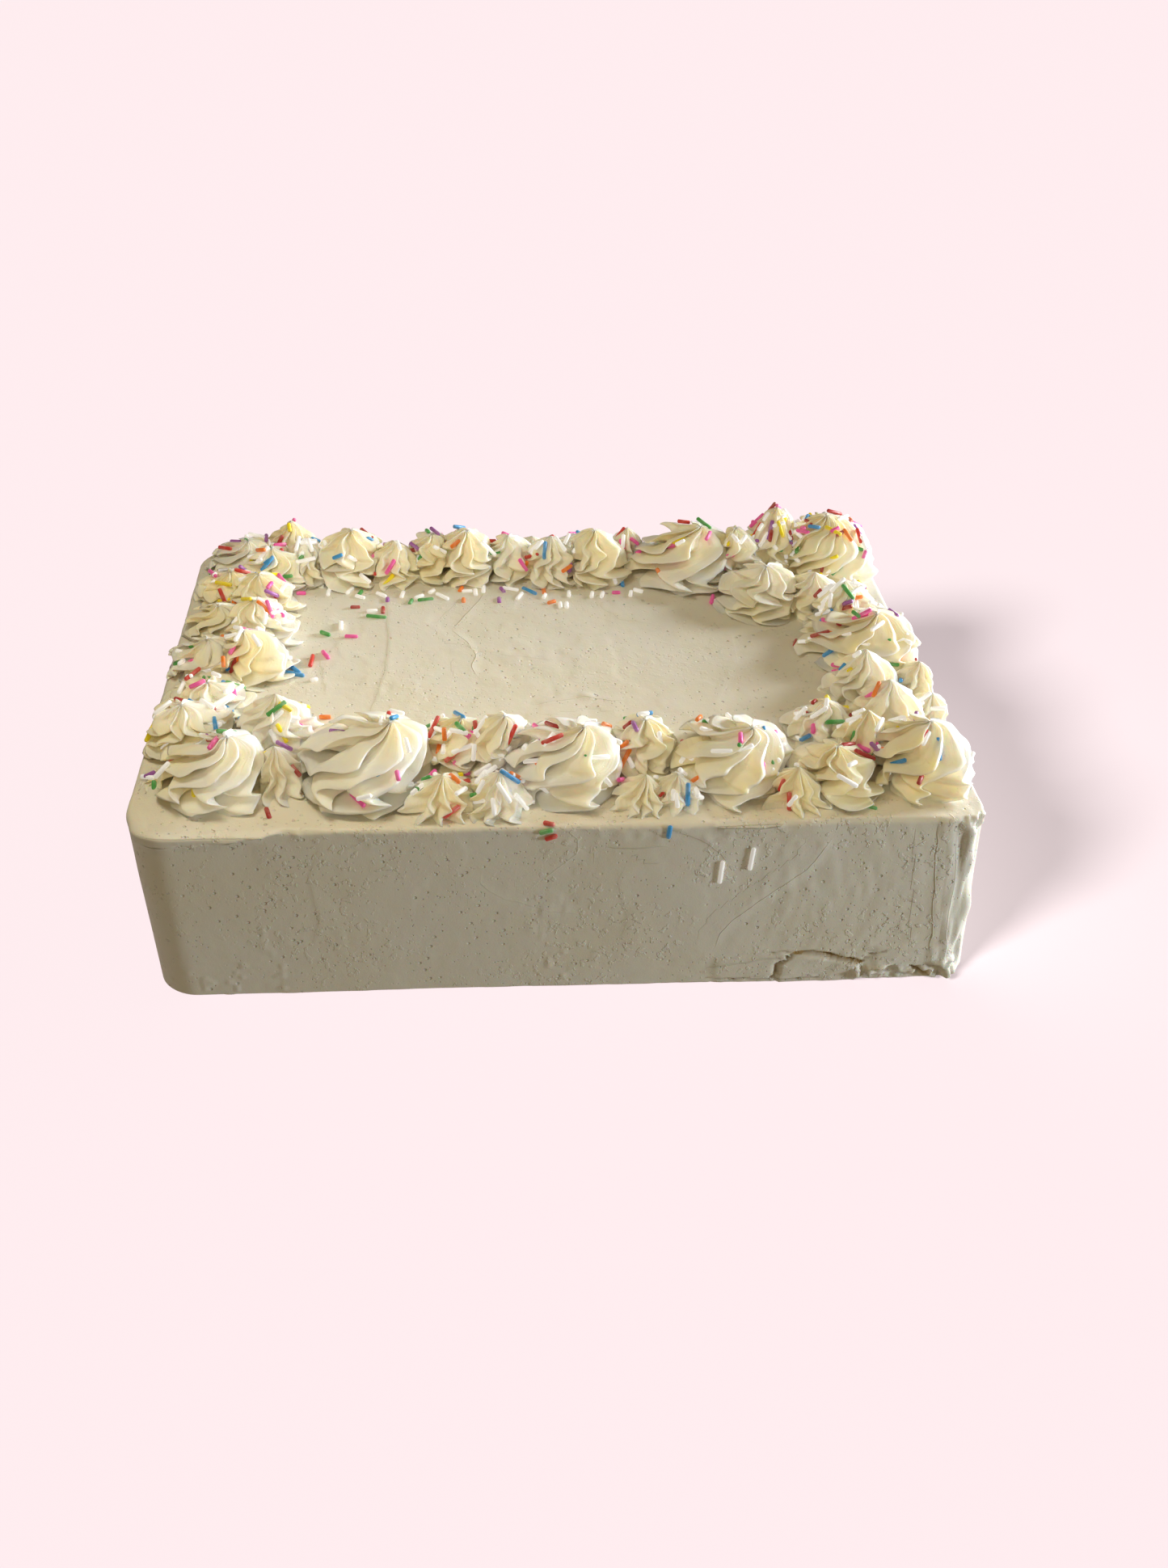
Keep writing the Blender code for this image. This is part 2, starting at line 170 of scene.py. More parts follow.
TOP_STROKES = [
    ([(-74, 96), (-73, 60), (-72.5, 20), (-73.5, -4), (-79, -34), (-86, -60)], 0.05, 0.22, 1.1),
    ([(-26, 72), (-29, 63), (-43, 35)], 0.22, 0.0, 1.1),
    ([(-43, 35), (-36, 22), (-32, 12), (-35, 3), (-33, -6)], 0.30, -0.20, 1.1),
    ([(-38, 18), (-18, 12), (4, 8)], 0.06, 0.20, 1.2),
    ([(36, 74), (28, 58), (36, 44), (52, 40)], 0.06, 0.20, 1.2),
    ([(70, -34), (86, 4), (88, 40), (78, 66)], 0.04, 0.18, 1.2),
    ([(-86, 40), (-102, 10), (-98, -22)], 0.04, 0.16, 1.2),
    ([(-10, -30), (14, -24), (30, -28)], 0.25, 0.12, 1.2),
]
# The split at the foot of the front wall: each path with the width and the depth of its opening.
CRACKS = [
    ([(82, 15.8), (90, 15.9), (97, 15.4)], 0.5, 1.0),
    ([(97, 15.4), (104, 15.7), (111, 14.2), (118, 12.2), (127, 10.0)], 1.5, 3.6),
    ([(97, 15.2), (91.5, 10.8), (89, 8.4), (91, 6.0), (88.5, 2.4)], 1.0, 2.2),
    ([(127, 10.0), (129.6, 14.2), (137.4, 16.6)], 0.6, 1.0),
    ([(60, 2.9), (80, 2.0), (92, 1.7), (108, 2.2)], 0.7, 1.6),
    ([(148, 7.0), (152, 5.2), (157, 5.8)], 1.4, 2.6),
]


def soft_noise(points, size, seed):
    """Smooth noise from -1 to 1, in blobs of a size: a random number at each corner of a cubic
    lattice, blended between corners by the smoothstep curve 3f^2 - 2f^3."""
    cells = points / size
    corner = np.floor(cells).astype(np.int64)
    part = cells - corner
    part = part * part * (3 - 2 * part)
    total = np.zeros(points.shape[:-1])
    for i in range(8):
        offset = np.array([i & 1, i >> 1 & 1, i >> 2 & 1])
        x, y, z = np.moveaxis(corner + offset, -1, 0)
        number = (x * 73856093 ^ y * 19349663 ^ z * 83492791 ^ (seed + 7) * 2654435761) & 0xFFFFFFFF
        number = ((number ^ number >> 13) * 1274126177) & 0xFFFFFFFF
        weight = np.prod(np.where(offset, part, 1 - part), axis=-1)
        total += weight * ((number >> 8 & 0xFFFF) / 32767.5 - 1)
    return total


def rise(value, start, width):
    """0 below start and 1 above start + width, along a smoothstep."""
    share = np.clip((value - start) / width, 0, 1)
    return share * share * (3 - 2 * share)


def between(value, low, high, soft):
    """1 between low and high and 0 outside, with soft edges."""
    return rise(value, low - soft / 2, soft) * (1 - rise(value, high - soft / 2, soft))


def along_path(x, y, path):
    """(distance, side, share): how far points lie from a path of straight runs, +1 where they lie
    to its left and -1 to its right, and how far along it, from 0 to 1, the nearest point is."""
    path = np.array(path) * MM
    runs = np.diff(path, axis=0)
    lengths = np.linalg.norm(runs, axis=1)
    before = np.concatenate([[0], np.cumsum(lengths)])
    away = np.stack([x, y], -1)[..., None, :] - path[:-1]
    share = np.clip((away * runs).sum(-1) / lengths**2, 0, 1)
    apart = away - share[..., None] * runs
    distance = np.linalg.norm(apart, axis=-1)
    nearest = distance.argmin(-1)[..., None]
    cross = runs[:, 0] * away[..., 1] - runs[:, 1] * away[..., 0]
    far = (before[:-1] + share * lengths) / before[-1]
    return [np.take_along_axis(v, nearest, -1)[..., 0] for v in (distance, np.sign(cross), far)]


def path_ends(far, slope):
    """1 along a path, falling to 0 at both of its ends, the more steeply the larger the slope."""
    return np.clip(np.minimum(far, 1 - far) * slope, 0, 1)


def edge_jitter(x, up):
    """How far a stroke's edge wanders from its path at points."""
    return 0.0006 * soft_noise(np.stack([x, up, 0 * x], -1), 0.006, 41)


def crack_jitter(x, z):
    """How far the edge of a crack wanders from its path at points."""
    return 0.0005 * soft_noise(np.stack([x, 0 * x, z], -1), 0.004, 42)


def stroke_relief(x, y, strokes):
    """Relief of spatula strokes: a narrow bead on each path, and a step that fades over 14 mm."""
    jitter = edge_jitter(x, y)
    relief = np.zeros_like(x)
    for path, bead, step, width in strokes:
        distance, side, far = along_path(x + jitter, y + jitter, path)
        ends = path_ends(far, 8)
        relief += 0.5 * bead * MM * ends * np.exp(-((distance / (width * MM)) ** 2))
        fade = np.exp(-distance / 0.014) * rise(side * distance, -0.0005, 0.0010)
        relief += step * MM * ends * fade
    return relief


def stroke_lines(points):
    """(distance, height) at points of the skin: how far each lies from the nearest stroke, positive
    to its left, and how high the bead of that stroke stands there, both in mm. The surface draws
    its fine edge from them."""
    x, y, z = points.T
    distance, height = np.full(len(x), 9.0), np.zeros(len(x))
    on_top = z > CAKE_HEIGHT - 0.001
    on_front = (y < FRONT_SKIN) & ~on_top
    for found, up, strokes in ((on_front, z, FRONT_STROKES), (on_top, y, TOP_STROKES)):
        jitter = edge_jitter(x, up)
        for path, bead, _, _ in strokes:
            apart, side, far = along_path(x + jitter, up + jitter, path)
            nearer = found & (apart / MM < np.abs(distance))
            distance[nearer] = (side * apart / MM)[nearer]
            height[nearer] = (bead * path_ends(far, 8))[nearer]
    return distance, height


def crack_relief(x, z):
    """Relief of the split foot: the openings, the slab and plate beside them and the crumbs."""
    flat = np.stack([x, 0 * x, z], -1)
    jitter = crack_jitter(x, z)
    crack = 0.0145 - 0.16 * np.clip(x - 0.104, 0, 1)
    slab = between(x, 0.0915, 0.125, 0.0012) * (1 - rise(z, crack - 0.0012, 0.0012))
    left_slab = between(x, 0.064, 0.090, 0.003) * (1 - rise(z, 0.0130, 0.002))
    relief = 0.0013 * slab * (1 + 0.3 * soft_noise(flat, 0.008, 3)) + 0.0005 * left_slab
    plate = between(x, 0.1315, 0.1585, 0.003) * between(z, 0.0085, 0.0185, 0.003)
    relief += 0.0007 * plate
    foot = 0.0092 + 0.0020 * soft_noise(flat, 0.009, 21)
    crumbs = between(x, 0.1235, 0.1665, 0.004) * (1 - rise(z, foot - 0.001, 0.002))
    lumps = np.abs(soft_noise(flat, 0.0048, 31)) + 0.5 * np.abs(soft_noise(flat, 0.0026, 32))
    relief += crumbs * rise(z, 0, 0.0035) * (0.0052 * lumps - 0.0009)
    for path, width, depth in CRACKS:
        distance, _, far = along_path(x + jitter, z + jitter, path)
        half = width / 2 * MM * np.maximum(path_ends(far, 6), 0.35)
        relief -= depth * MM * (1 - rise(distance, half * 0.5, half))
    return relief


def crack_shade_amount(points):
    """How much painted shade darkens points of the skin: up to 1 in the deep openings of the split on the
    front wall, less in its shallow ones, and 0 elsewhere."""
    x, z = points[:, 0], points[:, 2]
    jitter = crack_jitter(x, z)
    cut = np.zeros(len(points))
    for path, width, depth in CRACKS:
        distance = along_path(x + jitter, z + jitter, path)[0]
        inside = 1 - rise(distance, width * 0.35 * MM, width * 0.4 * MM)
        cut = np.maximum(cut, inside * min(depth / 3, 1))
    return cut * (points[:, 1] < FRONT_SKIN)


def front_relief(x, z):
    """Relief of the front wall: streaks, strokes, the torn lip at its top left, the thick strip at
    its right end and the split foot."""
    flat = np.stack([x, 0 * x, z], -1)
    slanted = flat.copy()
    slanted[..., 0] += 0.35 * (z - 0.04) ** 2 / 0.04 - 0.12 * z
    right_part = rise(x, 0.03, 0.09)
    relief = right_part * (
        0.00012 * soft_noise(slanted / [1, 1, 9], 0.0050, 5)
        + 0.00011 * soft_noise(slanted / [1, 1, 7], 0.0027, 6)
    )
    patches = soft_noise(flat, 0.024, 25) + 0.4 * soft_noise(flat, 0.008, 26)
    relief += 0.00014 * rise(patches, 0.05, 0.15)
    relief += 0.00005 * soft_noise(flat, 0.0040, 27)
    bubbly = rise(soft_noise(flat, 0.030, 28), 0.0, 0.4)
    relief += 0.00032 * bubbly * rise(soft_noise(flat, 0.0032, 29), 0.45, 0.2)
    relief += stroke_relief(x, z, FRONT_STROKES)
    depth = CAKE_HEIGHT - z
    lip = 0.0050 - 0.0038 * np.clip((x + 0.150) / 0.034, 0, 1) + 0.0007 * soft_noise(flat, 0.006, 9)
    flap = between(depth, -0.004, lip, 0.0006) * between(x, -0.168, -0.113, 0.006)
    relief += 0.0028 * flap
    shift = depth * 0.09
    groove = between(x - shift, 0.1555, 0.1600, 0.0014)
    strip = between(x - shift, 0.1490, 0.1550, 0.0012)
    relief += 0.0006 * strip - (0.0002 + 0.0006 * rise(z, 0.045, 0.02)) * groove
    relief += 0.0012 * rise(x, 0.159, 0.002) * soft_noise(flat / [1, 1, 6], 0.0020, 13)
    relief += 0.0018 * rise(x, 0.154, 0.004) * rise(z, 0.076, 0.004) * soft_noise(flat, 0.003, 14)
    return relief + crack_relief(x, z)


def cake_ring():
    """(points, outward normals) of the cake's plan, counter-clockwise from the middle of its front
    left corner: an arc tangent to both sides at each corner, and straight sides between."""
    corners = [np.array(c) for c in CORNERS]
    arcs, normals = [], []
    for i, (corner, radius) in enumerate(zip(corners, CORNER_RADII)):
        before, after = corners[i - 1] - corner, corners[(i + 1) % 4] - corner
        before, after = before / np.linalg.norm(before), after / np.linalg.norm(after)
        half = math.acos(before @ after) / 2
        bisector = (before + after) / np.linalg.norm(before + after)
        start = math.atan2(before[0], -before[1])
        angles = start + (math.pi - 2 * half) * np.linspace(0, 1, 2 * CORNER_COLUMNS + 1)
        normal = np.stack([np.cos(angles), np.sin(angles)], -1)
        arcs.append(corner + bisector * radius / math.sin(half) + radius * normal)
        normals.append(normal)
    points, outward = [], []
    for i in range(4):
        columns = (LONG_COLUMNS if i % 2 == 0 else SHORT_COLUMNS) - 2 * CORNER_COLUMNS
        share = np.linspace(0, 1, columns + 1)[1:-1, None]
        if i == 0:
            share = side_shares(share)
        if i == 2:
            share = 1 - side_shares(1 - share)
        start, end = arcs[i][-1], arcs[(i + 1) % 4][0]
        points += [arcs[i][CORNER_COLUMNS:], start + share * (end - start)]
        points.append(arcs[(i + 1) % 4][:CORNER_COLUMNS])
        outward += [normals[i][CORNER_COLUMNS:], np.repeat(normals[i][-1:], columns - 1, 0)]
        outward.append(normals[(i + 1) % 4][:CORNER_COLUMNS])
    return np.concatenate(points), np.concatenate(outward)


def side_shares(share):
    """Where along a long side, from 0 to 1, each column stands, from its share of the columns."""
    left = share / LEFT_SHARE * LEFT_PART
    right = LEFT_PART + (share - LEFT_SHARE) / (1 - LEFT_SHARE) * (1 - LEFT_PART)
    return np.where(share < LEFT_SHARE, left, right)


def wall_points():
    """Rings by columns of the wall and the rounded top edge, with the wall's relief."""
    outline, outward = cake_ring()
    climb = np.interp(np.linspace(0, 1, WALL_ROWS), *WALL_SPACING)
    bend = np.linspace(0, math.pi / 2, EDGE_ROWS + 1)[1:]
    heights = np.concatenate([[0, 0.0003], climb, CAKE_HEIGHT - TOP_EDGE_RADIUS * (1 - np.sin(bend))])
    insets = np.concatenate([[0.0010, 0.0003], 0 * climb, TOP_EDGE_RADIUS * (1 - np.cos(bend))])
    flat = outline[None] - outward[None] * insets[:, None, None]
    z = np.repeat(heights[:, None], len(outline), 1)
    x, y = flat[..., 0].copy(), flat[..., 1].copy()
    drop = 1 - z / CAKE_HEIGHT
    x -= x / CORNERS[1][0] * np.where(x < 0, LEFT_WALL_LEAN, RIGHT_WALL_LEAN) * drop
    points = np.stack([x, y, z], -1)
    push = 0.00045 * soft_noise(points, 0.055, 1) + 0.00020 * soft_noise(points, 0.014, 2)
    streak = soft_noise(points / [1, 1, 8], 0.004, 7)
    front = rise(-outward[None, :, 1], 0.25, 0.35)
    push += front * front_relief(x, z) + (1 - front) * 0.00008 * streak
    on_edge = between(z, CAKE_HEIGHT - 0.004, CAKE_HEIGHT + 0.004, 0.004)
    push += on_edge * 0.00020 * soft_noise(points, 0.0050, 17)
    push *= np.clip(1.15 - insets[:, None] / TOP_EDGE_RADIUS, 0, 1) * (heights[:, None] > 0)
    points[..., :2] += outward[None] * push[..., None]
    return points


def top_relief(x, y):
    """Relief of the top: a low swell, spatula strokes, the thin flats between them and bubbles."""
    flat = np.stack([x, y, 0 * x], -1)
    relief = 0.0005 * soft_noise(flat, 0.060, 4) + 0.00016 * soft_noise(flat, 0.016, 6)
    patches = soft_noise(flat, 0.022, 8) + 0.4 * soft_noise(flat, 0.008, 10)
    relief += 0.00020 * rise(patches, 0.0, 0.12) + 0.00006 * soft_noise(flat, 0.0045, 18)
    relief += stroke_relief(x, y, TOP_STROKES)
    lump = np.hypot(x + 0.161, (y + 0.084) * 0.8)
    relief += 0.0022 * (1 - rise(lump, 0.004, 0.006))
    scrape = np.hypot(x - 0.014, (y + 0.024) * 1.4)
    relief += 0.0005 * (1 - rise(scrape, 0.001, 0.005)) * (1 + soft_noise(flat, 0.0022, 19))
    return relief


def cake_mesh():
    """The closed skin: rings of the wall, a flat underside, and the top, a grid blended between
    the four sides of the last ring, each point the mean of its place across and along them."""
    wall = wall_points()
    rows, columns = wall.shape[:2]
    n, m = LONG_COLUMNS, SHORT_COLUMNS
    index = np.arange(rows * columns).reshape(rows, columns)
    rim = wall[-1]
    loop = np.append(index[-1], index[-1, 0])
    ring = np.append(rim, rim[:1], 0)
    front, right = ring[: n + 1], ring[n : n + m + 1]
    back, left = ring[n + m : 2 * n + m + 1][::-1], ring[2 * n + m :][::-1]
    u = np.linspace(0, 1, n + 1)[None, :, None]
    v = np.linspace(0, 1, m + 1)[:, None, None]
    top = (1 - v) * front[None] + v * back[None] + (1 - u) * left[:, None] + u * right[:, None]
    top -= (1 - v) * ((1 - u) * front[0] + u * front[-1]) + v * ((1 - u) * back[0] + u * back[-1])
    patch = np.full((m + 1, n + 1), -1)
    patch[0], patch[:, -1] = loop[: n + 1], loop[n : n + m + 1]
    patch[-1], patch[:, 0] = loop[n + m : 2 * n + m + 1][::-1], loop[2 * n + m :][::-1]
    inside = patch < 0
    patch[inside] = rows * columns + np.arange(inside.sum())
    wall[-3:, :, 2] += top_relief(wall[-3:, :, 0], wall[-3:, :, 1]) * np.array([0.3, 0.7, 1])[:, None]
    top[..., 2] = CAKE_HEIGHT + top_relief(top[..., 0], top[..., 1])
    points = np.concatenate([wall.reshape(-1, 3), top[inside]])
    nxt = np.roll(index, -1, 1)
    sides = np.stack([index[:-1], nxt[:-1], nxt[1:], index[1:]], -1).reshape(-1, 4)
    cover = np.stack([patch[:-1, :-1], patch[:-1, 1:], patch[1:, 1:], patch[1:, :-1]], -1)
    faces = sides.tolist() + cover.reshape(-1, 4).tolist() + [index[0, ::-1].tolist()]
    mesh = bpy.data.meshes.new("spread_icing")
    mesh.from_pydata(points.tolist(), [], faces)
    mesh.update()
    distance, height = stroke_lines(points)
    # The attribute cut carries the painted shade of the split's openings.
    for name, values in (("cut", crack_shade_amount(points)), ("stroke", distance), ("bead", height)):
        mesh.attributes.new(name, "FLOAT", "POINT").data.foreach_set("value", values)
    mesh.shade_smooth()
    return mesh


def icing_surface_group():
    """The skin of whipped buttercream, shared by the spread and the piped icing: fine grain, burst
    bubbles in clusters, and, where the mesh carries them, the fine edge of each spatula stroke and
    the lines that the nozzle drew. It puts out a height in mm and a mask of the deeper tint."""
    group = bpy.data.node_groups.new("icing_surface", "ShaderNodeTree")
    for name in ("Grain", "Pits"):
        group.interface.new_socket(name, in_out="INPUT", socket_type="NodeSocketFloat")
    group.interface.new_socket("Height", in_out="OUTPUT", socket_type="NodeSocketFloat")
    group.interface.new_socket("Tint", in_out="OUTPUT", socket_type="NodeSocketFloat")
    nodes, links = group.nodes, group.links
    given, result = nodes.new("NodeGroupInput"), nodes.new("NodeGroupOutput")
    place = nodes.new("ShaderNodeTexCoord").outputs["Object"]

    def noise(scale, detail, source):
        node = nodes.new("ShaderNodeTexNoise")
        node.inputs["Scale"].default_value = scale
        node.inputs["Detail"].default_value = detail
        links.new(source, node.inputs["Vector"])
        return node.outputs["Fac"]

    def maths(operation, *values):
        node = nodes.new("ShaderNodeMath")
        node.operation = operation
        for socket, value in zip(node.inputs, values):
            if isinstance(value, (int, float)):
                socket.default_value = value
            else:
                links.new(value, socket)
        return node.outputs[0]

    def ramp(value, low, high):
        node = nodes.new("ShaderNodeMapRange")
        node.interpolation_type = "SMOOTHSTEP"
        node.inputs["From Min"].default_value = low
        node.inputs["From Max"].default_value = high
        links.new(value, node.inputs["Value"])
        return node.outputs["Result"]

    def pits(scale, size):
        cells = nodes.new("ShaderNodeTexVoronoi")
        cells.inputs["Scale"].default_value = scale
        links.new(place, cells.inputs["Vector"])
        return maths("SUBTRACT", 1.0, ramp(cells.outputs["Distance"], size * 0.4, size))

    clusters = ramp(noise(38, 2, place), 0.42, 0.62)
    big = maths("MULTIPLY", pits(210, 0.17), clusters)
    small = maths("MULTIPLY", pits(420, 0.20), ramp(noise(90, 2, place), 0.42, 0.58))
    holes = maths("ADD", maths("MULTIPLY", big, 0.30), maths("MULTIPLY", small, 0.13))
    grain = maths("ADD", noise(1300, 4, place), maths("MULTIPLY", noise(300, 3, place), 2.4))
    height = maths("MULTIPLY", grain, given.outputs["Grain"])
    height = maths("SUBTRACT", height, maths("MULTIPLY", holes, given.outputs["Pits"]))
    axes = nodes.new("ShaderNodeSeparateXYZ")
    links.new(place, axes.inputs["Vector"])
    at_right = maths("ADD", maths("MULTIPLY", ramp(axes.outputs["X"], 0.0, 0.08), 0.55), 0.25)
    on_front = maths("MULTIPLY", ramp(axes.outputs["Y"], -0.112, -0.115), at_right)
    rough = maths("MULTIPLY", ramp(noise(30, 3, place), 0.44, 0.62), maths("ADD", on_front, 0.15))
    specks = maths("MULTIPLY", ramp(noise(330, 3, place), 0.56, 0.63), rough)
    specks = maths("MULTIPLY", maths("MULTIPLY", specks, 0.120), given.outputs["Pits"])
    height = maths("ADD", height, specks)
    carried = {}
    for name, output in (("stroke", "Fac"), ("bead", "Fac"), ("drawn", "Vector")):
        node = nodes.new("ShaderNodeAttribute")
        node.attribute_name = name
        carried[name] = node.outputs[output]
    apart = maths("ABSOLUTE", carried["stroke"])
    thread = maths("MULTIPLY", maths("SUBTRACT", 1.0, ramp(apart, 0.10, 0.50)), 0.5)
    fade = maths("SUBTRACT", 1.0, ramp(apart, 0.6, 5.0))
    ledge = maths("MULTIPLY", ramp(carried["stroke"], -0.25, 0.25), fade)
    strength = maths("MULTIPLY", carried["bead"], 0.65)
    edges = maths("MULTIPLY", maths("ADD", thread, ledge), strength)
    lines = maths("MULTIPLY", noise(15, 3, carried["drawn"]), 0.50)
    links.new(maths("ADD", maths("ADD", height, edges), lines), result.inputs["Height"])
    links.new(ramp(noise(26, 3, place), 0.35, 0.7), result.inputs["Tint"])
    return group


icing_surface = icing_surface_group()


def buttercream(name, light, deep, sink, grain, pits):
    """Buttercream: light sinks in by a depth and comes out warm, and the surface is satin."""
    material = bpy.data.materials.new(name)
    material.use_nodes = True
    nodes, links = material.node_tree.nodes, material.node_tree.links
    shader = nodes["Principled BSDF"]
    shader.inputs["Roughness"].default_value = 0.42
    shader.inputs["Specular IOR Level"].default_value = 0.4
    shader.inputs["Subsurface Weight"].default_value = 0.6
    shader.inputs["Subsurface Radius"].default_value = (1.0, 0.66, 0.36)
    shader.inputs["Subsurface Scale"].default_value = sink
    surface = nodes.new("ShaderNodeGroup")
    surface.node_tree = icing_surface
    surface.inputs["Grain"].default_value = grain
    surface.inputs["Pits"].default_value = pits
    bump = nodes.new("ShaderNodeBump")
    bump.inputs["Distance"].default_value = MM
    bump.inputs["Strength"].default_value = 1.0
    links.new(surface.outputs["Height"], bump.inputs["Height"])
    links.new(bump.outputs["Normal"], shader.inputs["Normal"])
    tint = nodes.new("ShaderNodeMix")
    tint.data_type = "RGBA"
    tint.inputs["A"].default_value = light
    tint.inputs["B"].default_value = deep
    links.new(surface.outputs["Tint"], tint.inputs["Factor"])
    links.new(tint.outputs["Result"], shader.inputs["Base Color"])
    return material


SPREAD_LIGHT, SPREAD_DEEP = (0.86, 0.84, 0.75, 1), (0.85, 0.82, 0.70, 1)
cake = link_object("spread_icing", cake_mesh())
only_icing.objects.link(cake)
spread = buttercream("spread_buttercream", SPREAD_LIGHT, SPREAD_DEEP, 0.0006, 0.05, 3.9)
# Painted shade: a dark olive brown is mixed into the icing's colour in the openings of the split, the
# more the deeper they are.
cut = spread.node_tree.nodes.new("ShaderNodeAttribute")
cut.attribute_name = "cut"
painted_crack_shade = spread.node_tree.nodes.new("ShaderNodeMix")
painted_crack_shade.data_type = "RGBA"
painted_crack_shade.inputs["B"].default_value = (0.42, 0.27, 0.085, 1)
spread_shader = spread.node_tree.nodes["Principled BSDF"]
creamy = spread_shader.inputs["Base Color"].links[0].from_socket
spread.node_tree.links.new(creamy, painted_crack_shade.inputs["A"])
spread.node_tree.links.new(cut.outputs["Fac"], painted_crack_shade.inputs["Factor"])
spread.node_tree.links.new(painted_crack_shade.outputs["Result"], spread_shader.inputs["Base Color"])
cake.data.materials.append(spread)
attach(cake, "root")
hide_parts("cake")


# The border: buttercream piped through a star nozzle in two rows, large turned rosettes, wavy
# ruffles, tall peaks and small stars, each pressed against its neighbours. ridges is the number of
# teeth of the nozzle and groove the depth between ridges, as a share of the radius. twist is the turn
# from foot to tip, ripple the swing of the ridges near the foot and fold a shorter swing, in degrees.
# fullness swells the middle, slope sharpens the tip, hook leans each crest over its groove, and cord
# rounds the ridges into cords with sharp grooves, where 0 leaves ridges with round grooves whose
# crests softness rounds. skirt spreads the foot, crown lifts the ends of the ridges at the tip, and
# drift is how far the cream wandered while it was piped. spread widens the planned foot, and rows is
# the number of rings in the mesh.
KINDS = {
    "rosette": dict(
        ridges=8, groove=0.53, twist=120, ripple=15, fold=9, fullness=1.35, slope=0.84, hook=0.32,
        cord=0.12, softness=0.14, skirt=0.0, crown=0.0020, drift=1.0, spread=1.08, rows=76,
    ),
    "ruffle": dict(
        ridges=8, groove=0.50, twist=25, ripple=26, fold=12, fullness=1.25, slope=0.80, hook=0.16,
        cord=0.50, softness=0.25, skirt=0.04, crown=0.0020, drift=1.0, spread=1.10, rows=60,
    ),
    "peak": dict(
        ridges=9, groove=0.46, twist=45, ripple=14, fold=8, fullness=1.0, slope=1.0, hook=0.12,
        cord=0.20, softness=0.16, skirt=0.08, crown=0.0, drift=0.8, spread=1.10, rows=60,
    ),
    "star": dict(
        ridges=10, groove=0.46, twist=15, ripple=7, fold=3, fullness=0.75, slope=1.05, hook=0.04,
        cord=0.0, softness=0.10, skirt=0.12, crown=0.0, drift=0.35, spread=1.18, rows=60,
    ),
}
# About how many columns a swirl's mesh has, the same number for each ridge.
SWIRL_COLUMNS = 176
# The swirl at the back right corner was piped through a nozzle with many fine teeth.
FINE_RIDGED = "rosette_right_2"
FINE_RIDGES = dict(ridges=15, groove=0.36, twist=95, ripple=5, fold=3, hook=0.12, softness=0.10)
# The piping plan, in millimetres: for each side, the kind of each swirl, its place along the side
# from the middle, its axis in from the side's edge, the radius of its foot, its height, and how far
# its tip leans along X. Front and back are measured along +X, left and right along +Y.
PLAN = {
    "front": [
        ("rosette", -139, 34, 23, 21, 7),
        ("star", -114, 33, 13, 18, -1),
        ("rosette", -80, 37, 28, 25, 11),
        ("star", -50, 17, 16, 14, 1),
        ("star", -27, 17, 15, 15, 0),
        ("ruffle", -42, 51, 15, 17, 0),
        ("ruffle", -25, 47, 16, 21, 2),
        ("rosette", -1, 35, 26, 23, 9),
        ("star", 30, 17, 12, 12, 1),
        ("star", 44, 18, 12, 12, 0),
        ("ruffle", 34, 45, 16, 20, 0),
        ("rosette", 67, 36, 26, 22, 9),
        ("star", 93, 18, 14, 14, 0),
        ("ruffle", 111, 27, 18, 18, 0),
        ("peak", 127, 43, 17, 24, -2),
        ("rosette", 145, 34, 23, 24, 4),
        ("peak", 113, 61, 16, 19, -1),
    ],
    "right": [
        ("peak", -50, 28, 18, 24, -2),
        ("star", -42, 7, 12, 12, 0),
        ("star", -17, 7, 12, 13, 0),
        ("peak", -22, 32, 17, 22, -1),
        ("rosette", 11, 23, 27, 20, 2),
        ("peak", 44, 27, 18, 20, 0),
        ("peak", 57, 40, 17, 18, 1),
        ("ruffle", 62, 62, 20, 18, 0),
        ("rosette", 96, 26, 25, 28, -1),
    ],
    "back": [
        ("peak", 119, 17, 19, 31, 0),
        ("ruffle", 97, 26, 15, 23, 0),
        ("rosette", 72, 23, 26, 23, 8),
        ("star", 46, 9, 11, 16, 0),
        ("star", 19, 8, 12, 12, 0),
        ("ruffle", 27, 26, 16, 22, 0),
        ("star", -2, 7, 11, 10, 0),
        ("peak", 6, 27, 17, 20, 0),
        ("peak", -14, 22, 18, 19, 0),
        ("ruffle", -35, 24, 18, 21, 0),
        ("ruffle", -51, 22, 15, 19, 0),
        ("peak", -70, 27, 16, 18, 0),
        ("ruffle", -91, 24, 19, 21, 0),
        ("peak", -113, 27, 15, 19, 0),
        ("peak", -120, 10, 15, 20, 0),
        ("rosette", -141, 19, 17, 14, 1),
    ],
    "left": [
        ("ruffle", 84, 43, 17, 17, 0),
        ("ruffle", 67, 24, 15, 13, 0),
        ("ruffle", 58, 39, 16, 17, 0),
        ("rosette", 37, 22, 16, 12, 0),
        ("ruffle", 31, 38, 17, 18, 0),
        ("rosette", 6, 19, 17, 12, 0),
        ("rosette", 2, 37, 17, 19, 0),
        ("ruffle", -24, 22, 16, 10, 0),
        ("peak", -52, 52, 17, 21, 1),
        ("ruffle", -51, 18, 18, 15, -3),
        ("star", -84, 9, 8, 6, 0),
    ],
}
# A swirl's foot is sunk in the icing, and bulges by a share of its radius, up to a share of the height.
FOOT_SINK = 0.0008
FOOT_BULGE = 0.07
FOOT_BULGE_TOP = 0.3
# How often the ridges swing and fold between foot and tip, and how far they bulge where they do.
RIPPLE_TURNS = 1.7
FOLD_TURNS = 3.6
SWING_BULGE = 0.050
# How far piped cream drifts, over which distance, and the first seed of its three noises.
DRIFTS = ((0.0015, 0.0095, 70), (0.0006, 0.0048, 80), (0.00012, 0.0022, 90))
HALF_LENGTH = 0.170
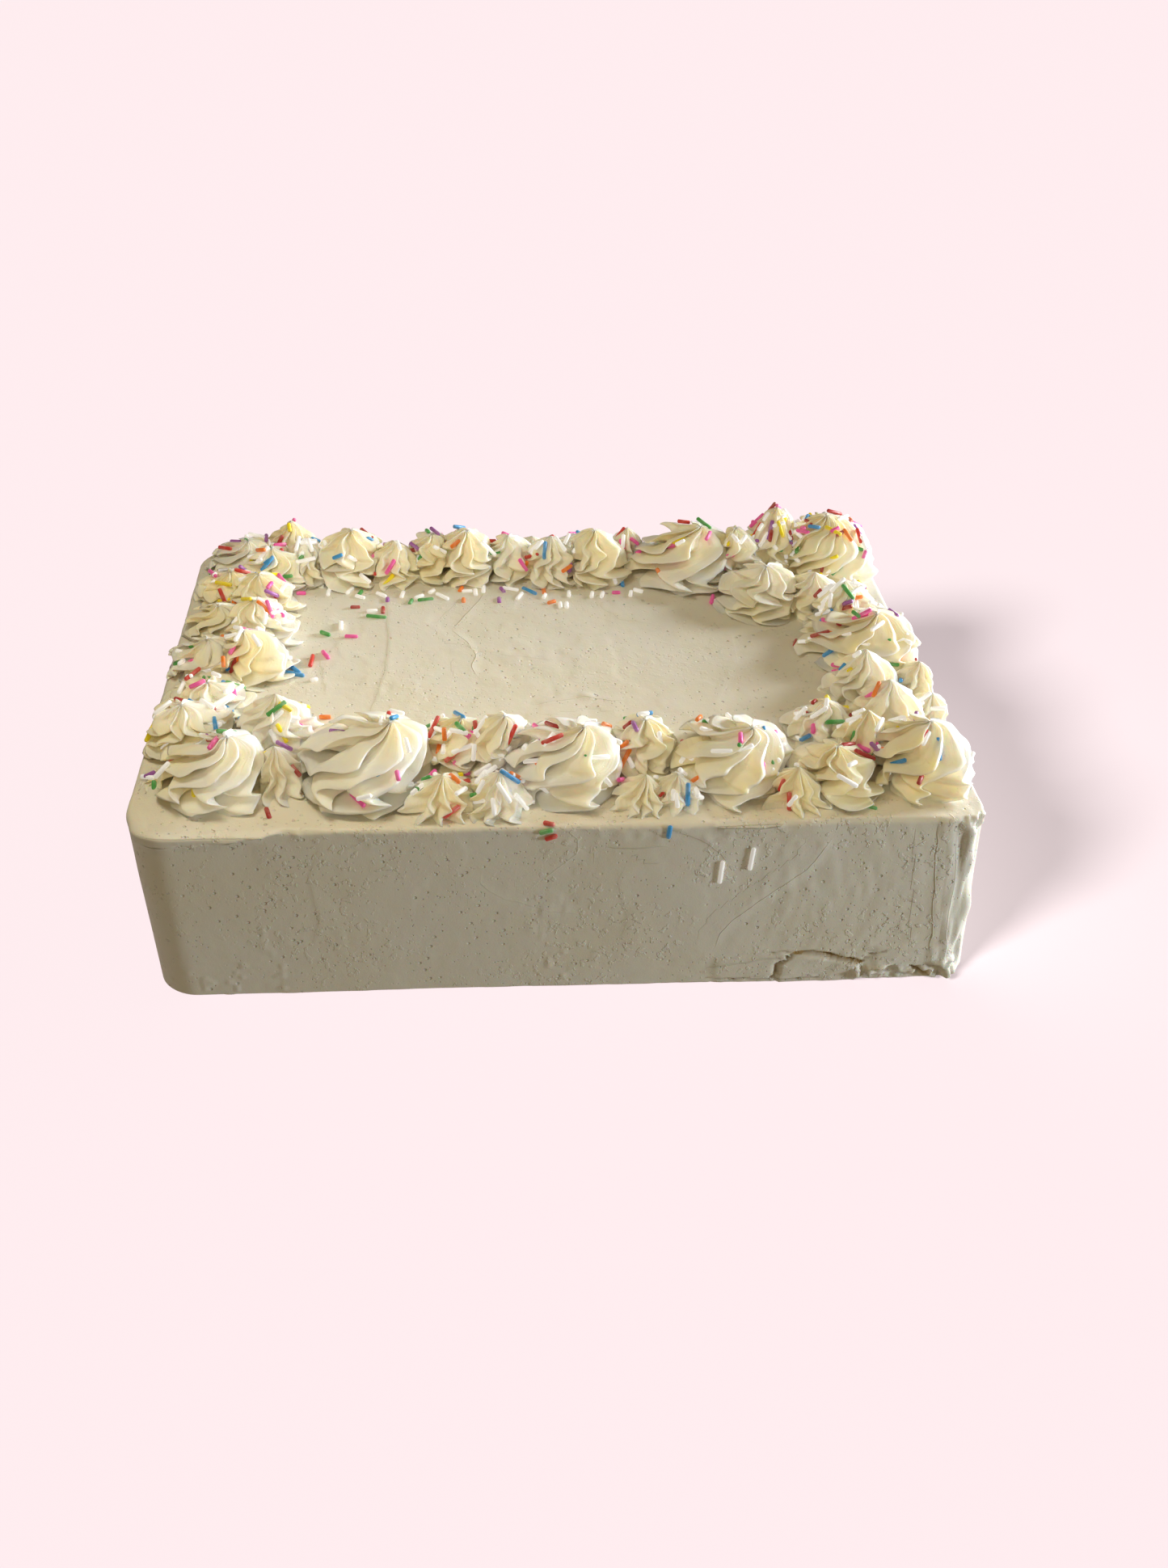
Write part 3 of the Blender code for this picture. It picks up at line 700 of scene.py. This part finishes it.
# How far the cake's top reaches from its middle to its left, right, front and back edge, which
# stop the swirls that overhang it.
EDGES = (((-1, 0), 0.1705), ((1, 0), 0.1700), ((0, -1), 0.1165), ((0, 1), 0.1180))
# How far neighbours reach into each other, and how abruptly a swirl bends where it is held back.
SQUEEZE = 0.0012
BEND = 8
GOLDEN_ANGLE = 2.39996


def place_on_side(side, along, inward):
    """(x, y) on the cake's top, from a place along a side and a distance in from its edge."""
    half_width = CORNERS[2][1]
    return {
        "front": (along, inward - half_width),
        "back": (along, half_width - inward),
        "left": (inward - HALF_LENGTH, along),
        "right": (HALF_LENGTH - inward, along),
    }[side]


swirls = []
for side, row in PLAN.items():
    for kind, along, inward, radius, height, lean in row:
        number = sum(s["side"] == side and s["kind"] == kind for s in swirls) + 1
        swirls.append(
            dict(
                KINDS[kind],
                kind=kind,
                side=side,
                name=f"{kind}_{side}_{number}",
                axis=np.array(place_on_side(side, along * MM, inward * MM)),
                radius=radius * MM,
                height=height * MM,
                lean=lean * MM,
                phase=GOLDEN_ANGLE * len(swirls),
                seed=len(swirls),
            )
        )
next(s for s in swirls if s["name"] == FINE_RIDGED).update(FINE_RIDGES)


def held_back(radius, heading, room):
    """The radius, bent softly inward where it would pass a plane that lies room away. heading is
    how squarely each direction faces the plane."""
    limit = np.where(heading > 0.02, room / np.maximum(heading, 0.02), 1.0)
    return radius / (1 + (radius / limit) ** BEND) ** (1 / BEND)


def swirl_surface(swirl, around, up):
    """Points of a swirl at angles around and heights up, both arrays, up running from 0 to 1.

    The radius falls from foot to tip with a swelling above the foot. A ridge turns with height by
    the twist, swings to and fro near the foot and bulges where it swings, leans over its groove,
    and spreads into a skirt. Where a neighbour is nearer than the radius, the two are squeezed
    flat against each other, and the grooves are cut in after that. Last, smooth noise drifts every
    point, the same for all swirls, as cream drifts while it is piped.
    """
    seed = swirl["seed"]
    wobble = np.sin(around + seed) + 0.5 * np.sin(2 * around + 2.1 * seed)
    outline = (1 - up) ** swirl["slope"] * (1 + swirl["fullness"] * up)
    outline = outline * (1 + FOOT_BULGE * np.sin(math.pi * np.clip(up / FOOT_BULGE_TOP, 0, 1)))
    spacing = around + 0.12 * np.sin(2 * around + 1.3 * seed) + 0.08 * np.sin(3 * around + 0.7 * seed)
    across = np.sin(swirl["ridges"] * spacing / 2)
    soft = swirl["softness"]
    blade = (1 - np.sqrt(across**2 + soft**2) / math.sqrt(1 + soft**2)) / (1 - soft)
    round_ridge = np.sqrt(np.cos(swirl["ridges"] * spacing / 2) ** 2 + 0.02) / math.sqrt(1.02)
    crest = blade + swirl["cord"] * (round_ridge - blade)
    groove = swirl["groove"] * (1 + 0.16 * np.sin(3 * around + seed * 1.7))
    groove = groove * (1 - 0.25 * np.exp(-up / 0.1))
    sway = 2 * math.pi * RIPPLE_TURNS * (1 - up) ** 1.3 + swirl["phase"] + 1.1 * wobble
    folds = 2 * math.pi * FOLD_TURNS * (1 - up) ** 1.2 + 1.9 * swirl["phase"] + 0.8 * wobble
    near_foot = (1 - up) ** 0.5
    outline = outline * (1 + near_foot * (SWING_BULGE * np.cos(sway) + SWING_BULGE * np.cos(folds)))
    skirt = 1 + swirl["skirt"] * (0.3 + 0.7 * crest) * np.exp(-up / 0.09)
    radius = swirl["spread"] * swirl["radius"] * outline * skirt
    swing = swirl["ripple"] * np.sin(sway) + swirl["fold"] * np.sin(folds)
    turn = np.radians(swirl["twist"] * up**1.2 + swing * near_foot)
    lean_over = swirl["hook"] + 0.12 * near_foot * np.cos(sway)
    angle = around + turn + swirl["phase"] + lean_over * crest**2
    direction = np.stack([np.cos(angle), np.sin(angle)], -1)
    lean = np.array([swirl["lean"], 0.0]) * (up**2)[..., None]
    for other in swirls:
        apart = other["axis"] - swirl["axis"]
        distance = float(np.linalg.norm(apart))
        if other is swirl or distance > swirl["radius"] + other["radius"]:
            continue
        reach = (distance**2 + swirl["radius"] ** 2 - other["radius"] ** 2) / (2 * distance)
        heading = direction @ (apart / distance)
        radius = held_back(radius, heading, reach + SQUEEZE - lean @ (apart / distance))
    for outward, reach in EDGES:
        heading = direction @ np.array(outward)
        radius = held_back(radius, heading, reach - swirl["axis"] @ outward - lean @ np.array(outward))
    radius = radius * (1 - groove * (1 - crest))
    flat = swirl["axis"] + lean + radius[..., None] * direction
    height = CAKE_HEIGHT - FOOT_SINK + (swirl["height"] + FOOT_SINK) * up
    height = height + swirl["crown"] * (crest - 0.5) * up**4
    points = np.concatenate([flat, height[..., None]], -1)
    drift = np.zeros_like(points)
    for far, size, first in DRIFTS:
        drift += far * np.stack([soft_noise(points, size, first + i) for i in range(3)], -1)
    drift[..., 2] *= 0.7 * up
    return points + swirl["drift"] * drift


def swirl_mesh(swirl):
    """The swirl as rings of points that follow its ridges, closed by its tip and a flat foot."""
    columns = round(SWIRL_COLUMNS / swirl["ridges"]) * swirl["ridges"]
    rows = swirl["rows"]
    around = np.arange(columns) * 2 * math.pi / columns
    up = (np.arange(rows) / rows) ** 1.1
    grid_around, grid_up = np.meshgrid(around, up)
    points = swirl_surface(swirl, grid_around, grid_up)
    tip = points[-1].mean(0) + (0, 0, swirl["height"] / rows)
    index = np.arange(rows * columns).reshape(rows, columns)
    nxt = np.roll(index, -1, 1)
    faces = np.stack([index[:-1], nxt[:-1], nxt[1:], index[1:]], -1).reshape(-1, 4).tolist()
    faces += np.stack([index[-1], nxt[-1], np.full(columns, rows * columns)], -1).tolist()
    faces.append(index[0, ::-1].tolist())
    mesh = bpy.data.meshes.new("cream_" + swirl["name"])
    mesh.from_pydata(points.reshape(-1, 3).tolist() + [tip.tolist()], [], faces)
    mesh.update()
    drawn = np.stack([np.cos(grid_around), np.sin(grid_around), 0.12 * grid_up], -1).reshape(-1, 3)
    drawn = np.append(drawn, [(0, 0, 0.12)], 0).ravel()
    mesh.attributes.new("drawn", "FLOAT_VECTOR", "POINT").data.foreach_set("vector", drawn)
    mesh.shade_smooth()
    return mesh


PIPED_LIGHT, PIPED_DEEP = (0.96, 0.93, 0.84, 1), (0.96, 0.865, 0.62, 1)
piped = buttercream("piped_buttercream", PIPED_LIGHT, PIPED_DEEP, 0.0028, 0.03, 0.5)
for swirl in swirls:
    piece = link_object("cream_" + swirl["name"], swirl_mesh(swirl))
    piece.data.materials.append(piped)
    only_piping.objects.link(piece)
    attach(piece, "root")
    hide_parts(swirl["name"])


# The sprinkles: rods of coloured sugar, about 2 mm thick and 3 to 11 mm long, scattered over the
# border, where they lie across the ridges. Those on the flat top and on the front wall are placed
# one by one.
SPRINKLE_RADIUS = 0.00095
ROD_SIDES = 8
SHORTEST_ROD, LONGEST_ROD = 0.0042, 0.0100
MOST_LIFT = 0.0030
# Painted light: how strongly the white and the coloured rods give off light of their own colour, though
# they are no lamps.
WHITE_PAINTED_LIGHT, COLOUR_PAINTED_LIGHT = 0.30, 0.14
COLOURS = {
    "pink": (0.92, 0.13, 0.42, 1),
    "dark_red": (0.43, 0.040, 0.035, 1),
    "red": (0.64, 0.055, 0.040, 1),
    "orange": (0.93, 0.23, 0.030, 1),
    "yellow": (0.95, 0.76, 0.020, 1),
    "green": (0.085, 0.37, 0.085, 1),
    "blue": (0.055, 0.31, 0.64, 1),
    "purple": (0.38, 0.13, 0.42, 1),
    "white": (0.97, 0.965, 0.95, 1),
}
RUBBED = (0.9, 0.85, 0.75, 1)
# Place, heading from +X in degrees and length of each sprinkle that lies on the flat top, in mm.
LOOSE = {
    "pink": [(-114, 70, 0, 4.5), (37, 69, 0, 4), (83, 62, 75, 8), (-89, 29, -5, 6), (-100, 13, 115, 7)],
    "green": [(-86, 70, 70, 4.5), (-78, 47, -12, 9.5), (-62, 61, 75, 4.5), (-55, 63, 10, 7.5),
              (-101, 32, -35, 5.5), (122, -109, -30, 5)],
    "purple": [(-73, 63, 90, 4), (-18, 72, 110, 5), (-20, 62, 90, 5), (-119.5, 5.5, 60, 3)],
    "dark_red": [(-88, 56, 0, 4.5), (-75, 53, 90, 6), (116, 20, 70, 6), (-117, -106, 105, 7)],
    "red": [(-106, 8, 85, 9.5), (-8, -116, -20, 4.5)],
    "orange": [(-38, 73, 70, 5), (-37, 62, 90, 4), (2, 72, 90, 7.5), (5, 60, 30, 4.5), (-98, -38, 0, 5)],
    "blue": [(-5, 71, -45, 9), (41, 78, 90, 5), (-113, -3, -20, 9.5), (-113, 1, -55, 9)],
    "white": [(-94, 39, 90, 7), (-80, 52.5, 0, 5), (25, 67, 80, 5), (30, 67, 75, 5), (9, 57, 90, 5),
              (-101, 71, 85, 6), (-91, 72, 60, 6), (-86, 66, -30, 5), (-76, 68, -40, 6), (-66, 68, 80, 6),
              (-47, 66, -45, 8), (-31, 70, 90, 6), (-27, 73, 85, 7), (-35, 71, 5, 5), (-52, 71, 50, 4),
              (-14, 73, -20, 8), (-10, 66, 65, 7), (14, 68, 85, 5), (12, 57, 85, 5), (2, 66, 70, 4),
              (-58, 66, 35, 5), (44, 68, 80, 5), (48, 71, -30, 5), (124, 22, 10, 5), (-104, -8, 20, 3)],
}
# Place along X and up, lean from upright in degrees and length of each that sticks to the front wall.
STUCK = {
    "green": [(-9.1, 82.2, 75, 5.5)],
    "red": [(-7.1, 79.2, 70, 5)],
    "blue": [(39.5, 80.8, 4, 6)],
    "white": [(62, 60, 2, 11), (73.8, 66.5, 3, 11)],
}
# How many sprinkles lie on the swirls in each region (its middle and its reach, in mm), and which
# share of them is white.
SHOWERS = [
    ((128, 94), 30, 120, 0.42),
    ((146, 20), 36, 96, 0.48),
    ((132, -55), 34, 60, 0.46),
    ((-140, 75), 38, 84, 0.44),
    ((-146, -10), 44, 96, 0.56),
    ((-135, -75), 30, 50, 0.50),
    ((-88, 100), 44, 34, 0.34),
    ((0, 104), 60, 50, 0.36),
    ((70, 96), 32, 32, 0.36),
    ((-70, -74), 34, 42, 0.60),
    ((-18, -68), 36, 84, 0.56),
    ((50, -70), 36, 74, 0.56),
    ((100, -80), 30, 28, 0.45),
]
random = np.random.default_rng(23)


def rod_points(middles, alongs, lengths):
    """Rods by rings by sides: a round rod of each length about its middle, with domed ends."""
    turn = np.arange(ROD_SIDES) * 2 * math.pi / ROD_SIDES
    helper = np.where(np.abs(alongs[:, 2:]) < 0.8, [0.0, 0.0, 1.0], [1.0, 0.0, 0.0])
    side = np.cross(alongs, helper)
    side /= np.linalg.norm(side, axis=1)[:, None]
    other = np.cross(alongs, side)
    circle = np.cos(turn)[:, None] * side[:, None] + np.sin(turn)[:, None] * other[:, None]
    ends = np.array([-1, -1, 1, 1])
    drawn_in = np.array([0, 0.45, 0.45, 0]) * SPRINKLE_RADIUS
    widths = np.array([0.62, 1, 1, 0.62]) * SPRINKLE_RADIUS
    offsets = ends * (lengths[:, None] / 2 - drawn_in)
    rings = middles[:, None, None] + offsets[:, :, None, None] * alongs[:, None, None]
    return rings + widths[None, :, None, None] * circle[:, None]


def rod_mesh(name, points):
    """All rods of one colour as one mesh, each closed by a flat face at both ends."""
    rods, rings, sides = points.shape[:3]
    index = np.arange(rods * rings * sides).reshape(rods, rings, sides)
    nxt = np.roll(index, -1, 2)
    skin = np.stack([index[:, :-1], nxt[:, :-1], nxt[:, 1:], index[:, 1:]], -1).reshape(-1, 4)
    faces = skin.tolist() + index[:, 0, ::-1].tolist() + index[:, -1].tolist()
    mesh = bpy.data.meshes.new(name)
    mesh.from_pydata(points.reshape(-1, 3).tolist(), [], faces)
    mesh.update()
    mesh.shade_smooth()
    return mesh


def shower(region, reach, count):
    """(middles, directions, lengths) of sprinkles that fell on the swirls of a region. Both ends lie
    on a swirl's surface, and a rod is lifted where the surface between them is higher."""
    near = [s for s in swirls if np.hypot(*(s["axis"] / MM - region)) < reach]
    middles, alongs, lengths = [], [], []
    weights = np.array([s["radius"] ** 2 for s in near])
    for swirl in random.choice(near, count * 3, p=weights / weights.sum()):
        around, up = random.uniform(0, 2 * math.pi), 1 - random.uniform(0.01, 0.85) ** 0.6
        heading, length = random.uniform(0, math.pi), random.uniform(SHORTEST_ROD, LONGEST_ROD)
        span_around = length * math.cos(heading) / (swirl["radius"] * (1.1 - up) * 1.4)
        span_up = length * math.sin(heading) / (swirl["height"] + swirl["radius"]) * 1.3
        share = np.linspace(-0.5, 0.5, 5)
        heights = np.clip(up + share * span_up, 0.02, 0.99)
        spots = swirl_surface(swirl, around + share * span_around, heights)
        chord = spots[4] - spots[0]
        if not 0.7 * length < np.linalg.norm(chord) < 1.35 * length:
            continue
        along = chord / np.linalg.norm(chord)
        outward = spots[2] - (*swirl["axis"], CAKE_HEIGHT - swirl["radius"] * 0.35)
        outward = outward / np.linalg.norm(outward)
        outward -= along * (outward @ along)
        outward /= np.linalg.norm(outward)
        if outward[2] < random.uniform(0.0, 0.75):
            continue
        lift = ((spots - spots[0]) @ outward).max()
        middle = (spots[0] + spots[4]) / 2 + outward * (min(lift, MOST_LIFT) + SPRINKLE_RADIUS * 0.8)
        middles.append(middle)
        alongs.append(along)
        lengths.append(length)
        if len(lengths) == count:
            break
    return middles, alongs, lengths


def sugar(name, colour, glow):
    """Sugar rod: a matt, slightly chalky coat with a faint gloss and paler, rubbed patches, and painted
    light: it gives off light of its own colour, as strong as glow."""
    material = bpy.data.materials.new(name)
    material.use_nodes = True
    nodes, links = material.node_tree.nodes, material.node_tree.links
    shader = nodes["Principled BSDF"]
    shader.inputs["Roughness"].default_value = 0.38
    shader.inputs["Specular IOR Level"].default_value = 0.45
    # Painted light: the rod gives off its own colour, though it is no lamp.
    shader.inputs["Emission Color"].default_value = colour
    shader.inputs["Emission Strength"].default_value = glow
    place = nodes.new("ShaderNodeTexCoord")
    patches = nodes.new("ShaderNodeTexNoise")
    patches.inputs["Scale"].default_value = 260
    patches.inputs["Detail"].default_value = 3
    links.new(place.outputs["Object"], patches.inputs["Vector"])
    mix = nodes.new("ShaderNodeMix")
    mix.data_type = "RGBA"
    mix.inputs["A"].default_value = colour
    mix.inputs["B"].default_value = tuple(0.72 * c + 0.28 * p for c, p in zip(colour, RUBBED))
    ramp = nodes.new("ShaderNodeMapRange")
    ramp.inputs["From Min"].default_value = 0.45
    ramp.inputs["From Max"].default_value = 0.75
    links.new(patches.outputs["Fac"], ramp.inputs["Value"])
    links.new(ramp.outputs["Result"], mix.inputs["Factor"])
    links.new(mix.outputs["Result"], shader.inputs["Base Color"])
    bump = nodes.new("ShaderNodeBump")
    bump.inputs["Distance"].default_value = 0.00012
    links.new(patches.outputs["Fac"], bump.inputs["Height"])
    links.new(bump.outputs["Normal"], shader.inputs["Normal"])
    return material


# Of each colour: the middles, the directions and the lengths of its rods.
rods = {colour: ([], [], []) for colour in COLOURS}


def lay_rod(colour, *measures):
    for part, value in zip(rods[colour], measures):
        part.append(value)


# Pink is twice as common as each other bright colour.
bright = [colour for colour in COLOURS if colour != "white"] + ["pink"]
for region, reach, count, white in SHOWERS:
    for rod in zip(*shower(region, reach, count)):
        lay_rod("white" if random.uniform() < white else random.choice(bright), *rod)
for colour, placed in LOOSE.items():
    for x, y, heading, length in placed:
        angle = math.radians(heading)
        middle = (x * MM, y * MM, CAKE_HEIGHT + SPRINKLE_RADIUS * 0.6)
        lay_rod(colour, middle, (math.cos(angle), math.sin(angle), 0.0), length * MM)
for colour, placed in STUCK.items():
    for x, z, lean, length in placed:
        angle = math.radians(lean)
        middle = (x * MM, CORNERS[0][1] - SPRINKLE_RADIUS * 0.5, z * MM)
        lay_rod(colour, middle, (math.sin(angle), 0.0, math.cos(angle)), length * MM)
for colour, parts in rods.items():
    name = "sprinkles_" + colour
    piece = link_object(name, rod_mesh(name, rod_points(*(np.array(part) for part in parts))))
    # The painted light that each rod gives off.
    glow = WHITE_PAINTED_LIGHT if colour == "white" else COLOUR_PAINTED_LIGHT
    piece.data.materials.append(sugar("sugar_" + colour, COLOURS[colour], glow))
    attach(piece, "root")
